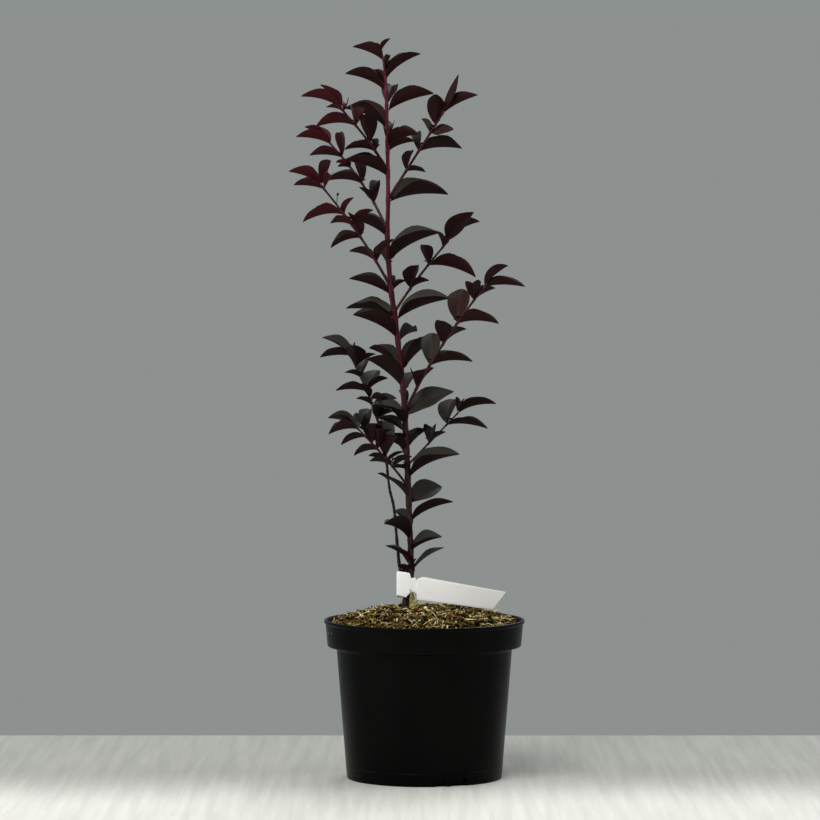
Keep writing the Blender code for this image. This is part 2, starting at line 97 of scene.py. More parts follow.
# Second stem: height above the pot's underside, distance right of the pot's axis and distance behind it
SECOND_LINE = ((213, -17, 1), (220.5, -25.2, 3), (244.8, -28.6, 7), (287.6, -32.5, 11), (308.5, -37.2, 12),
               (329.3, -39.7, 14))
SECOND_RADIUS_FOOT = 1.9 * MM
SECOND_RADIUS_TOP = 1.35 * MM

# How much of its radius a shoot loses along its length
SHOOT_TAPER = 0.35

# Leaves: a blade's half width and the bare stalk are shares of the leaf's length
BLADE = 0.2889
STALK = 0.05
LEAF_THICKNESS = 0.34 * MM
EDGE_HALF_WIDTH = 0.15 * MM
MIDRIB_RADIUS = 0.56 * MM
MIDRIB_TIP_RADIUS = 0.10 * MM
MIDRIB_DEPTH = 0.18 * MM
MIDRIB_FULL_FROM = 30 * MM

# Leaves that the trunk bears itself: height of the node, then the leaf
TRUNK_LEAVES = (
    (748, Leaf(10, 38, 27, 10)),
    (735, Leaf(165, 45, 19)),
    (714, Leaf(348, 51, 18, 0, 78)),
    (720, Leaf(81, 36, 22, 0, 43)),
    (695, Leaf(160, 48, 22, -15)),
    (677, Leaf(310, 50, 11)),
    (671, Leaf(34, 34, 11)),
    (645, Leaf(203, 50, 16)),
    (617, Leaf(15, 66, 8, 12)),
    (580, Leaf(170, 43, 20)),
    (554, Leaf(345, 56, 30, 26, 44)),
    (518, Leaf(175, 45, 17)),
    (522, Leaf(100, 26, 13)),
    (491, Leaf(350, 59, 23, 28, 44)),
    (492, Leaf(165, 54, 11, -12, 40)),
    (472, Leaf(214, 56, 25, -12, 50)),
    (467, Leaf(60, 40, 11, 20)),
    (440, Leaf(140, 44, 20)),
    (436, Leaf(30, 42, 35)),
    (419, Leaf(210, 44, 31)),
    (413, Leaf(66, 36, 21, 0, 45)),
    (388, Leaf(5, 52, 26, 42, 30)),
    (396, Leaf(100, 34, 18)),
    (371, Leaf(158, 35, 15, 0, 40)),
    (353, Leaf(52, 34, 19)),
    (350, Leaf(205, 30, 15, 0, 42)),
    (322, Leaf(340, 58, 26, 28, 42)),
    (300, Leaf(195, 32, 27, 0, 15)),
    (294, Leaf(40, 46, 16, 34, 30)),
    (275, Leaf(0, 46, 21, 0, 34)),
    (262, Leaf(120, 34, 22, 0, 55)),
    (255, Leaf(232, 44, 20)),
    (244, Leaf(325, 40, 16, 30, 35)),
    (232, Leaf(203, 29, 18, 0, 35)),
    (222, Leaf(5, 35, 25, 0, 15)),
    (681, Leaf(80, 36, 20, 0, 62)),
    (548, Leaf(109, 36, 18, 0, 62)),
)

# The trunk's tip above its last full leaf
TIP = Shoot(768.5, 150, 3, 12, 0, 0, 1.2, (
    (0.10, (Leaf(188, 33, 14),)),
    (0.95, (Leaf(15, 10, 13), Leaf(165, 9, 8))),
))

# Side shoots: height on the trunk, bearing, reach, lift, bow, length left bare, radius, then their leaves,
# each node with its place along the shoot from 0 to 1
SHOOTS = {
    "left_top": Shoot(650, 220, 64.5, 65.3, 0.03, 0.22, 1.6, (
        (0.33, (Leaf(105, 22, 13), Leaf(190, 34, 2))),
        (0.46, (Leaf(259, 32, 30, 0, 42), Leaf(93, 35, 14))),
        (0.74, (Leaf(178, 43, -1), Leaf(95, 33, 20, 0, 53))),
        (0.95, (Leaf(180, 19, 5), Leaf(86, 31, 10, 0, 62))),
        (1.00, (Leaf(170, 43, 13, 0, 45), Leaf(197, 23, 25, 0, 50))),
    )),
    "left_high": Shoot(586, 134, 89.7, 94.8, 0.05, 0.27, 1.7, (
        (0.32, (Leaf(215, 20, 17, 0, 25), Leaf(80, 26, 24, 0, 62))),
        (0.54, (Leaf(170, 40, 3), Leaf(260, 33, 26, 0, 59))),
        (0.72, (Leaf(150, 19, 6), Leaf(215, 17, 1))),
        (0.84, (Leaf(190, 36, 2, -15), Leaf(264, 26, 26, 0, 60))),
        (0.99, (Leaf(180, 38, 8), Leaf(155, 32, 19))),
    )),
    "left_middle": Shoot(525, 217, 91.4, 108.8, 0.03, 0.22, 1.6, (
        (0.28, (Leaf(160, 31, 11), Leaf(330, 22, 24))),
        (0.52, (Leaf(180, 32, -11, -20), Leaf(225, 19, 27, 0, 28))),
        (0.64, (Leaf(150, 27, 2), Leaf(20, 24, 16))),
        (0.74, (Leaf(185, 44, -8), Leaf(330, 12, 18))),
        (0.97, (Leaf(195, 33, 4), Leaf(284, 33, 14, 0, 62))),
        (1.00, (Leaf(165, 36, 15), Leaf(75, 35, 27, 0, 62))),
    )),
    "left_low": Shoot(312, 229, 81.9, 66.1, 0.02, 0.28, 1.4, (
        (0.37, (Leaf(190, 25, 6, -30, 35), Leaf(340, 22, 11))),
        (0.52, (Leaf(95, 35, 38, 0, 41), Leaf(288, 36, 25, 0, 52))),
        (0.66, (Leaf(160, 27, -7), Leaf(269, 34, 24, 0, 48))),
        (0.77, (Leaf(280, 26, 22, 0, 30), Leaf(15, 22, 14))),
        (0.87, (Leaf(185, 26, -9), Leaf(83, 36, 27, 0, 62))),
        (0.99, (Leaf(165, 33, 11, -30), Leaf(205, 34, -5), Leaf(80, 35, 10, 0, 62))),
    )),
    "right_top": Shoot(620, 319, 77.8, 91.3, 0, 0.19, 1.6, (
        (0.37, (Leaf(286, 29, 21, 0, 51), Leaf(0, 21, -1))),
        (0.60, (Leaf(0, 46, 3), Leaf(100, 36, 18, 0, 62))),
        (0.79, (Leaf(338, 27, 4, 52, 15), Leaf(130, 14, 16))),
        (0.87, (Leaf(270, 29, 32, 0, 43), Leaf(93, 35, 26, 0, 49))),
        (0.99, (Leaf(0, 37, 19, 0, 76), Leaf(12, 17, 41, 180, 40))),
    )),
    "right_high": Shoot(499, 41, 77.6, 76.9, 0.02, 0.28, 1.6, (
        (0.35, (Leaf(285, 35, 26, 0, 48), Leaf(20, 22, 9))),
        (0.68, (Leaf(350, 52, -13, 4), Leaf(254, 23, 22, 0, 40), Leaf(93, 30, 14, 0, 55))),
        (0.91, (Leaf(150, 8, 18), Leaf(40, 16, 13))),
        (0.98, (Leaf(330, 33, 32, -46, 22), Leaf(22, 38, 22))),
    )),
    "right_middle": Shoot(392, 325, 102.6, 135.4, 0.03, 0.16, 1.7, (
        (0.21, (Leaf(264, 36, 19, 0, 52), Leaf(20, 20, 22))),
        (0.40, (Leaf(85, 35, 34, 0, 41), Leaf(10, 47, 4, 0, 45))),
        (0.57, (Leaf(266, 34, 26, 0, 34), Leaf(25, 28, 16, 30))),
        (0.73, (Leaf(350, 45, 0, 12), Leaf(78, 36, 36, 0, 42))),
        (0.90, (Leaf(267, 35, 19, 0, 52), Leaf(30, 27, 13))),
        (1.00, (Leaf(355, 43, 0), Leaf(28, 29, 22, 30))),
    )),
    "right_low": Shoot(335, 46, 78.7, 53.7, 0, 0.38, 1.3, (
        (0.47, (Leaf(276, 36, 19, 0, 50), Leaf(20, 20, 12))),
        (0.81, (Leaf(350, 45, -4, 0, 45), Leaf(78, 35, 26, 0, 48))),
        (1.00, (Leaf(5, 42, 10, 0, 45), Leaf(276, 27, 14, 0, 62))),
    )),
}

# The second stem's leafy end, which grows on from the last of its places
SECOND_END = Shoot(329, 155, 44.4, 122.8, 0.055, 0, 1.45, (
    (0.07, (Leaf(10, 19, 12, 0, 40), Leaf(190, 20, 8))),
    (0.21, (Leaf(262, 16, 22, 0, 15), Leaf(100, 26, 18))),
    (0.34, (Leaf(30, 22, 14, 0, 45), Leaf(200, 26, 8, 0, 50))),
    (0.47, (Leaf(283, 17, 20, 0, 12), Leaf(15, 25, 10, 0, 40))),
    (0.59, (Leaf(345, 27, 8, 30, 30), Leaf(190, 18, 8))),
    (0.65, (Leaf(335, 27, -6, -20, 40), Leaf(215, 20, 16, 0, 30))),
    (0.71, (Leaf(72, 36, 22, 0, 27), Leaf(185, 34, 1), Leaf(20, 24, 14))),
    (0.82, (Leaf(178, 18, 6), Leaf(82, 36, 22, 0, 48))),
    (0.91, (Leaf(264, 30, 24, 0, 22), Leaf(350, 22, 14))),
    (1.00, (Leaf(190, 33, -2), Leaf(168, 31, 19, -35), Leaf(78, 24, 8, 0, 62))),
))

# Plant tag: a plastic strip that wraps round the trunk and lies out to the right.
# Each row is a place right of the trunk's axis, a place behind it, and the strip's lower and upper edge.
TAG_THICKNESS = 0.5 * MM
TAG_HEIGHT = 200 * MM
TAG_STRIP = ((5, 6, 191, 216), (-4, 6.6, 192, 217), (-10.5, 3, 193.5, 218.5), (-12.4, -1.5, 195, 220.5),
             (-10.6, -4.8, 196, 222), (-2.5, -6.8, 194, 221), (1.6, -7.4, 198.5, 220),
             (3.3, -7.5, 200.3, 214.6), (7.3, -7.8, 199.5, 215.5), (9.6, -8.4, 197.5, 210.2),
             (12, -9.4, 191.8, 212.6), (15.7, -10.5, 191.2, 216.3), (90.6, -16, 181.6, 203.2),
             (104, -16.8, 200.2, 200.9))

# Leaf colours, upper face then underside, from the youngest growth to the oldest. The upper faces' colours are
# partly the leaves' own and partly painted sheen: the grey in the older tones stands in for the soft light's
# reflection.
LEAF_COLOURS = {"crimson": ((0.038, 0.0060, 0.0070), (0.033, 0.0016, 0.0030)),
                "young": ((0.026, 0.0120, 0.0095), (0.016, 0.0022, 0.0024)),
                "purple": ((0.030, 0.0255, 0.0205), (0.012, 0.0024, 0.0022)),
                "dark": ((0.027, 0.0240, 0.0195), (0.0088, 0.0030, 0.0024))}

# The tone at each spray's end. Its leaves below OLDER_BELOW of its length are a tone older.
# The trunk's own leaves change tone at two heights, in millimetres.
TONES = {"left_top": "crimson", "left_high": "crimson", "left_middle": "crimson", "tip": "crimson",
         "right_top": "young", "right_high": "young", "right_middle": "young", "left_low": "purple",
         "right_low": "purple", "second": "dark"}
OLDER_BELOW = 0.6
YOUNG_ABOVE = 640
PURPLE_ABOVE = 430

# Smaller leaves that are only in the scene: on the trunk, at its foot by the tag and on the second stem.
# The round bud has its shoot, its place on it, its rise, its bearing and its size.
EXTRA_LEAVES = (
    (757, Leaf(75, 20, 17)),
    (739, Leaf(130, 23, 19, 0, 66)),
    (521, Leaf(25, 17, 12, 0, 50)),
    (388, Leaf(175, 34, 12, -10, 50)),
    (378, Leaf(238, 30, 18, 0, 35)),
    (361, Leaf(200, 30, 4, 0, 45)),
    (340, Leaf(120, 24, 20)),
    (331, Leaf(215, 20, 2, 0, 45)),
)
FOOT_LEAVES = (
    (219, Leaf(200, 15, 10, 46, 20)),
    (217, Leaf(190, 13, 5, 40, 20)),
    (227, Leaf(225, 14, 17, 20, 25)),
    (224, Leaf(310, 9, 12, 0, 30)),
    (218, Leaf(262, 9, 13, 0, 10)),
)
SECOND_LEAVES = (
    (318, Leaf(185, 12, 8)),
)
ROUND_BUD = ("left_middle", 0.83, 10 * MM, 40, 2.6 * MM)
BUD_SIZE = 1.6 * MM
TWIG_SIZE = 0.75 * MM

# Edges that turn by more than this are shaded as creases
SHARP_EDGE = radians(80)

# Stage and camera: the table top's left, right, front and back edge, the camera's place and aim,
# and how many degrees wide it sees
FLOOR_SIDES = (-1.5, 1.5, -1.2, 0.364)
CAMERA_PLACE = (-0.0154, -4.4, 0.586)
CAMERA_AIM = (-0.0154, 0, 0.3946)
CAMERA_ANGLE = 11.38


class Socket:
    """A shader value. An expression on such values adds the Math nodes that work it out."""

    def __init__(self, finish, socket):
        self.finish = finish
        self.socket = socket

    def math(self, operation, *values):
        return self.finish.node("ShaderNodeMath", {"operation": operation}, dict(enumerate(values)))

    def __add__(self, other):
        return self.math("ADD", self, other)

    __radd__ = __add__

    def __sub__(self, other):
        return self.math("SUBTRACT", self, other)

    def __rsub__(self, other):
        return self.math("SUBTRACT", other, self)

    def __mul__(self, other):
        return self.math("MULTIPLY", self, other)

    __rmul__ = __mul__

    def __pow__(self, other):
        return self.math("POWER", self, other)

    def __lt__(self, other):
        return self.math("LESS_THAN", self, other)

    def __gt__(self, other):
        return self.math("GREATER_THAN", self, other)

    def sine(self):
        return self.math("SINE", self)

    def size(self):
        return self.math("ABSOLUTE", self)

    def between(self, low, high):
        """0 below low, 1 above high, and a smooth rise between."""
        limits = {"Value": self, "From Min": low, "From Max": high}
        return self.finish.node("ShaderNodeMapRange", {"interpolation_type": "SMOOTHSTEP"}, limits)


class Finish:
    """A material. Its shader's own values are set directly, and feed() links what changes over it."""

    def __init__(self, name, **values):
        self.material = bpy.data.materials.new(name)
        self.material.use_nodes = True
        self.tree = self.material.node_tree
        self.shader = self.tree.nodes["Principled BSDF"]
        for key, value in values.items():
            self.feed(key.replace("_", " ").title().replace("Ior", "IOR"), value)

    def put(self, socket, value):
        if isinstance(value, Socket):
            self.tree.links.new(value.socket, socket)
        elif isinstance(value, tuple) and socket.type == "RGBA":
            socket.default_value = (*value, 1)
        else:
            socket.default_value = value

    def feed(self, key, value):
        self.put(self.shader.inputs[key], value)

    def node(self, kind, settings=None, inputs=None, output=0):
        """Adds a node of a type, with its settings first and then the values or links of its inputs."""
        made = self.tree.nodes.new(kind)
        for key, value in (settings or {}).items():
            setattr(made, key, value)
        for key, value in (inputs or {}).items():
            self.put(made.inputs[key], value)
        return Socket(self, made.outputs[output])

    def place(self):
        return self.node("ShaderNodeTexCoord", output="Object")

    def parts_of(self, vector):
        split = self.node("ShaderNodeSeparateXYZ", inputs={0: vector})
        return [Socket(self, out) for out in split.socket.node.outputs]

    def scaled(self, vector, scale):
        return self.node("ShaderNodeMapping", inputs={"Vector": vector, "Scale": scale})

    def noise(self, vector, scale, detail=3.0, roughness=0.55):
        return self.node("ShaderNodeTexNoise", inputs={"Vector": vector, "Scale": scale, "Detail": detail,
                                                       "Roughness": roughness})

    def mix(self, factor, low, high):
        return self.node("ShaderNodeMix", {"data_type": "RGBA"}, {0: factor, 6: low, 7: high}, output=2)

    def bump(self, height, strength, distance):
        self.feed("Normal", self.node("ShaderNodeBump", inputs={"Height": height, "Strength": strength,
                                                                "Distance": distance}))


def pot_finish():
    """Black polypropylene: satin, with faint upright flow marks, fine dust and a few pale specks."""
    made = Finish("black pot plastic", specular_ior_level=0.05)
    place = made.place()
    flow = made.noise(made.scaled(place, (60, 60, 5)), 1.0)
    dust = made.noise(place, 420, detail=2).between(0.62, 0.8)
    cloud = made.noise(place, 14).between(0.35, 0.75)
    speck = made.node("ShaderNodeTexVoronoi", inputs={"Vector": place, "Scale": 55})
    specks = (speck < 0.05) * made.noise(place, 9).between(0.5, 0.62)
    base = made.mix(cloud * 0.5, (0.0006, 0.0006, 0.0006), (0.0016, 0.0016, 0.0015))
    dusty = made.mix(dust * 0.2, base, (0.014, 0.013, 0.012))
    made.feed("Base Color", made.mix(specks, dusty, (0.2, 0.2, 0.19)))
    made.feed("Roughness", 0.2 + flow * 0.16 + dust * 0.12)
    made.bump(flow * 0.6 + made.noise(place, 900) * 0.15, 0.25, 0.2 * MM)
    return made.material


def bark_finish():
    """Bark that is crimson and smooth above, and brown with tan streaks and a rougher skin lower down."""
    made = Finish("trunk bark", specular_ior_level=0.2)
    place = made.place()
    height = made.parts_of(place)[2]
    streak = made.noise(made.scaled(place, (700, 700, 38)), 1.0, detail=5)
    young = height.between(0.32, 0.50)
    low = made.mix(streak.between(0.3, 0.7), (0.008, 0.0032, 0.0028), (0.034, 0.0115, 0.0085))
    tan_streaks = streak.between(0.56, 0.72) * (1 - height.between(0.33, 0.44))
    low = made.mix(tan_streaks * 0.75, low, (0.115, 0.064, 0.034))
    high = made.mix(streak.between(0.35, 0.65), (0.022, 0.0016, 0.0038), (0.078, 0.0050, 0.0135))
    tip = made.mix(streak.between(0.35, 0.65), (0.042, 0.0025, 0.0080), (0.135, 0.0085, 0.0265))
    crimson = made.mix(height.between(0.58, 0.72), high, tip)
    made.feed("Base Color", made.mix(young, low, crimson))
    made.feed("Roughness", 0.6 - young * 0.22 + streak * 0.12)
    made.bump(streak + made.noise(place, 1500) * 0.3, 0.5, 0.25 * MM)
    return made.material


def shoot_finish(name, low, high):
    """Young wood: smooth, with fine streaks and blotches between two dark tones."""
    made = Finish(name, specular_ior_level=0.2)
    place = made.place()
    streak = made.noise(made.scaled(place, (420, 420, 90)), 1.0, detail=4)
    made.feed("Base Color", made.mix(streak.between(0.35, 0.65), low, high))
    made.feed("Roughness", 0.38 + streak * 0.15)
    made.bump(streak, 0.3, 0.12 * MM)
    return made.material


def leaf_finish(name, colour, roughness, vein_depth):
    """A leaf's skin: one plain colour, a satin sheen, and side veins that leave the midrib at a slant."""
    made = Finish(name, base_color=colour, specular_ior_level=0.13)
    place = made.place()
    across, along = made.parts_of(made.node("ShaderNodeUVMap"))[:2]
    slant = along * 44 - (across - 0.5).size() * 26
    veins = slant.sine() ** 8 * vein_depth
    pores = made.noise(place, 1600, detail=2)
    made.feed("Roughness", roughness - 0.08 + made.noise(place, 160) * 0.16)
    made.bump(veins + pores * 0.25, 0.5, 0.12 * MM)
    return made.material


def plain_finish(name, low, high, scale):
    """A dull natural material whose colour drifts between two tones."""
    made = Finish(name, roughness=0.85, specular_ior_level=0.04)
    place = made.place()
    made.feed("Base Color", made.mix(made.noise(place, scale).between(0.35, 0.65), low, high))
    made.bump(made.noise(place, 2200, detail=2), 0.4, 0.2 * MM)
    return made.material


def tag_finish():
    """White plastic that is greyer towards its far end, with faint scuffs."""
    made = Finish("white tag plastic", specular_ior_level=0.4)
    place = made.place()
    right = made.parts_of(place)[0]
    scuff = made.noise(made.scaled(place, (40, 40, 160)), 1.0).between(0.5, 0.8)
    white = made.mix(right.between(0.0, 0.09), (0.86, 0.86, 0.85), (0.66, 0.66, 0.64))
    made.feed("Base Color", made.mix(scuff * 0.2, white, (0.6, 0.6, 0.58)))
    made.feed("Roughness", 0.38 + scuff * 0.2)
    made.bump(made.noise(place, 300), 0.08, 0.1 * MM)
    return made.material


class Heap:
    """Closed shapes gathered for one piece: their points, faces and a UV place for each point."""

    def __init__(self):
        self.points = []
        self.places = []
        self.faces = []
        self.count = 0

    def add(self, points, faces, places=None):
        self.faces += [group + self.count for group in faces]
        self.points.append(points)
        self.places.append(np.zeros((len(points), 2)) if places is None else places)
        self.count += len(points)


def make_piece(name, heap, finish, slot, *replaced):
    """Puts a heap of shapes into one smooth-shaded mesh object that rides on the body."""
    corners = np.concatenate([group.ravel() for group in heap.faces])
    widths = np.concatenate([np.full(len(group), group.shape[1]) for group in heap.faces])
    mesh = bpy.data.meshes.new(name)
    mesh.vertices.add(heap.count)
    mesh.vertices.foreach_set("co", np.concatenate(heap.points).ravel())
    mesh.loops.add(len(corners))
    mesh.loops.foreach_set("vertex_index", corners)
    mesh.polygons.add(len(widths))
    mesh.polygons.foreach_set("loop_start", np.cumsum(widths) - widths)
    mesh.uv_layers.new(name="UVMap").data.foreach_set("uv", np.concatenate(heap.places)[corners].ravel())
    mesh.update(calc_edges=True)
    mesh.shade_smooth()
    mesh.set_sharp_from_angle(angle=SHARP_EDGE)
    mesh.materials.append(finish)
    obj = bpy.data.objects.new(name, mesh)
    bpy.context.scene.collection.objects.link(obj)
    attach(obj, "root")
    if replaced:
        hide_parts(*replaced)
    return obj


def closed_sweep(rings, start, end):
    """Points and faces of a closed shape: rings joined in turn, with a pole at each end, facing outwards.

    The shape's volume is the sum of a . (b x c) / 6 over its triangles, and where that is negative its faces
    are turned over.
    """
    rows, columns = rings.shape[:2]
    points = np.concatenate([rings.reshape(-1, 3), [start, end]])
    i, j = np.mgrid[:rows - 1, :columns].reshape(2, -1)
    after = (j + 1) % columns
    here, beyond = i * columns, (i + 1) * columns
    quads = np.stack([here + j, beyond + j, beyond + after, here + after], 1)
    j = np.arange(columns)
    after = (j + 1) % columns
    last = (rows - 1) * columns
    near = np.stack([np.full(columns, last + columns), j, after], 1)
    far = np.stack([np.full(columns, last + columns + 1), last + after, last + j], 1)
    caps = np.concatenate([near, far])
    centred = points - points.mean(0)
    triangles = np.concatenate([quads[:, :3], quads[:, [0, 2, 3]], caps])
    a, b, c = (centred[triangles[:, k]] for k in range(3))
    if np.einsum("ij,ij->", a, np.cross(b, c)) < 0:
        quads = quads[:, ::-1]
        caps = caps[:, ::-1]
    return points, [quads, caps]


def unit(vectors):
    """Each vector divided by its length."""
    return vectors / np.maximum(np.linalg.norm(vectors, axis=-1, keepdims=True), 1e-12)


def direction(bearing):
    """The level unit vector that points along a bearing."""
    return np.array((cos(radians(bearing)), sin(radians(bearing)), 0.0))


def arch(base, bearing, reach, lift, bow, t):
    """A limb or a midrib: base (1 - t)^2 + handle 2 t (1 - t) + tip t^2, its handle above its chord."""
    out = direction(bearing)
    up = np.array((0.0, 0.0, 1.0))
    chord = out * reach + up * lift
    handle = base + chord * 0.4 + (up * reach - out * lift) * 2 * bow
    t = np.asarray(t, float)[:, None]
    return base * (1 - t) ** 2 + handle * 2 * t * (1 - t) + (base + chord) * t ** 2


def shoot_line(base, shoot, t):
    """The points of a shoot's line, which starts at its base."""
    return arch(base, shoot.bearing, shoot.reach * MM, shoot.lift * MM, shoot.bow, t)


def smooth_line(places, step):
    """A Catmull-Rom line through a row of places, with a point about every step."""
    places = np.asarray(places, float)
    line = []
    for i in range(len(places) - 1):
        start, end = places[i], places[i + 1]
        before = places[max(i - 1, 0)]
        after = places[min(i + 2, len(places) - 1)]
        count = max(2, round(np.linalg.norm(end - start) / step))
        t = np.arange(count)[:, None] / count
        square = 2 * before - 5 * start + 4 * end - after
        cube = 3 * start - before - 3 * end + after
        line.append(0.5 * (2 * start + (end - before) * t + square * t ** 2 + cube * t ** 3))
    return np.concatenate(line + [places[-1:]])


def length_of(line):
    """The summed length of a line's pieces."""
    return np.linalg.norm(np.diff(line, axis=0), axis=1).sum()


def tube(line, radii, sides, relief=None):
    """A round limb: ring i is centre_i + radius_i (1 + relief) (cos a * side_i + sin a * up_i)."""
    along = unit(np.gradient(line, axis=0))
    reference = np.eye(3)[np.argmin(np.abs(line[-1] - line[0]))]
    side = unit(np.cross(along, reference))
    up = np.cross(side, along)
    a = np.arange(sides) * 2 * pi / sides
    radii = np.asarray(radii)[:, None] * (1 + (0 if relief is None else relief(line, a)))
    rim = np.cos(a)[:, None] * side[:, None] + np.sin(a)[:, None] * up[:, None]
    return closed_sweep(line[:, None] + radii[..., None] * rim, line[0], line[-1])


def waves(places, seed, size, count=24):
    """Smooth noise of about unit height: a sum of sines along seeded directions, with waves near one size."""
    vary = np.random.default_rng(seed)
    ways = unit(vary.normal(size=(count, places.shape[-1]))) * 2 * pi / size
    ways = ways * vary.uniform(0.5, 2.0, (count, 1))
    return np.sin(places @ ways.T + vary.uniform(0, 2 * pi, count)).sum(-1) * (2 / count) ** 0.5


def trunk_line():
    """The trunk's centre line, from a foot that sits a little way into the compost."""
    places = [(x * MM, 0, z * MM) for z, x in TRUNK_LINE]
    foot = (places[0][0], 0, places[0][2] - TRUNK_FOOT)
    return np.concatenate([[foot], smooth_line(places, 2 * MM)])


def trunk_radius(height):
    """The trunk's radius: a taper that quickens to the top, and a flare that dies away above the foot."""
    low, high = TRUNK[0, 2], TRUNK[-1, 2]
    rise = np.clip((height - low) / (high - low), 0, 1)
    taper = TRUNK_RADIUS_FOOT + (TRUNK_RADIUS_TOP - TRUNK_RADIUS_FOOT) * rise ** TRUNK_TAPER
    return taper + FLARE * 2.0 ** (-(height - low) / FLARE_HEIGHT)


def on_trunk(height):
    """The point of the trunk's line at a height in millimetres."""
    return np.array([np.interp(height * MM, TRUNK[:, 2], TRUNK[:, k]) for k in range(3)])


def swelling(line, nodes, height, width):
    """How much a limb swells at its nodes: a bell of that height and width round each of them."""
    apart = np.linalg.norm(line[:, None] - np.asarray(nodes)[None], axis=2)
    return height * np.exp(-(apart / width) ** 2).max(1)


def leaf_plates(base, leaf, seed, rows=16, columns=8):
    """The upper and the lower skin of a leaf's blade, each a thin closed plate, and its midrib's tube.

    Along the midrib the half width runs as sin(pi b^n)^0.85, so a larger n puts its widest place further out.
    Across it each half is an arc that starts at three quarters of its fold and ends at five quarters of it, so
    the blade is a trough with a keel. Its margins ruffle as s^2 sin(2 pi m b + s + phase), where s runs from
    -1 to 1 across it, and its midrib bends a little sideways.
    """
    vary = Random(seed)
    bow = vary.uniform(0.05, 0.10)
    width = vary.uniform(0.9, 1.1)
    fold = radians(leaf.fold + vary.uniform(-8, 8))
    turn = radians(leaf.turn + vary.uniform(-10, 10))
    phase = vary.uniform(0, 2 * pi)
    twist = vary.uniform(-0.3, 0.3)
    sideways = vary.uniform(-0.025, 0.025)
    ripple = vary.uniform(0.03, 0.10)
    ripples = vary.uniform(1.1, 2.3)
    uneven = vary.uniform(-0.14, 0.14)
    outward = vary.uniform(0.84, 1.08)
    b = (1 - np.cos(np.linspace(0, pi, rows + 1))) / 2
    t = STALK + (1 - STALK) * b
    reach, lift = leaf.reach * MM, leaf.lift * MM
    bare = np.linspace(0, STALK, 4)[:-1]
    stalk = arch(base, leaf.bearing, reach, lift, bow, np.concatenate([bare, t[:-1]]))
    length = length_of(stalk)
    side = direction(leaf.bearing + 90)
    centre = arch(base, leaf.bearing, reach, lift, bow, t)
    shift = side * (sideways * length * np.sin(pi * b))[:, None]
    centre = centre + shift
    stalk[len(bare):] += shift[:-1]
    along = unit(np.gradient(centre, axis=0))
    up = unit(np.cross(along, side))
    lean = (turn + twist * (b - 0.3))[:, None]
    across = side * np.cos(lean) + up * np.sin(lean)
    raised = up * np.cos(lean) - side * np.sin(lean)
    half = length * BLADE * width * np.sin(pi * b ** outward).clip(0) ** 0.85 + EDGE_HALF_WIDTH
    s = np.linspace(-1, 1, columns + 1)
    own_fold = fold * (1 + uneven * np.sign(s))
    first, bend = own_fold * 0.75, own_fold * 0.5
    flat = (np.sin(first + bend * abs(s)) - np.sin(first)) / bend * np.sign(s)
    high = (np.cos(first) - np.cos(first + bend * abs(s))) / bend
    ruffle = ripple * s ** 2 * np.sin(2 * pi * ripples * b[:, None] + phase + s)
    blade = (centre[:, None] + half[:, None, None] * (across[:, None] * flat[None, :, None]
                                                      + raised[:, None] * (high + ruffle)[..., None]))
    normal = unit(np.cross(np.gradient(blade, axis=0), np.gradient(blade, axis=1)))
    thick = LEAF_THICKNESS / 2 * (1 - 0.6 * abs(s))[None, :, None]
    thick[:, [0, -1]] = 0
    places = np.stack(np.broadcast_arrays((s + 1) / 2, b[:, None]), 2)
    back = slice(-2, 0, -1)
    plates = []
    for low_side, high_side in ((-0.05, 1), (-1, 0.05)):
        upper = blade + normal * thick * high_side
        lower = blade + normal * thick * low_side
        rings = np.concatenate([upper, lower[:, back]], 1)[:-1]
        uv = np.concatenate([places, places[:, back]], 1)[:-1].reshape(-1, 2)
        points, faces = closed_sweep(rings, centre[0], centre[-1])
        plates.append((points, faces, np.concatenate([uv, [(0.5, 0), (0.5, 1)]])))
    keel = np.where(np.arange(len(stalk)) < len(bare), 0, MIDRIB_DEPTH)[:, None]
    above = np.concatenate([np.repeat(raised[:1], len(bare), 0), raised[:-1]])
    radii = MIDRIB_RADIUS - (MIDRIB_RADIUS - MIDRIB_TIP_RADIUS) * np.linspace(0, 1, len(stalk)) ** 0.6
    rib = tube(stalk - above * keel, radii * min(1, length / MIDRIB_FULL_FROM), 6)
    return *plates, rib


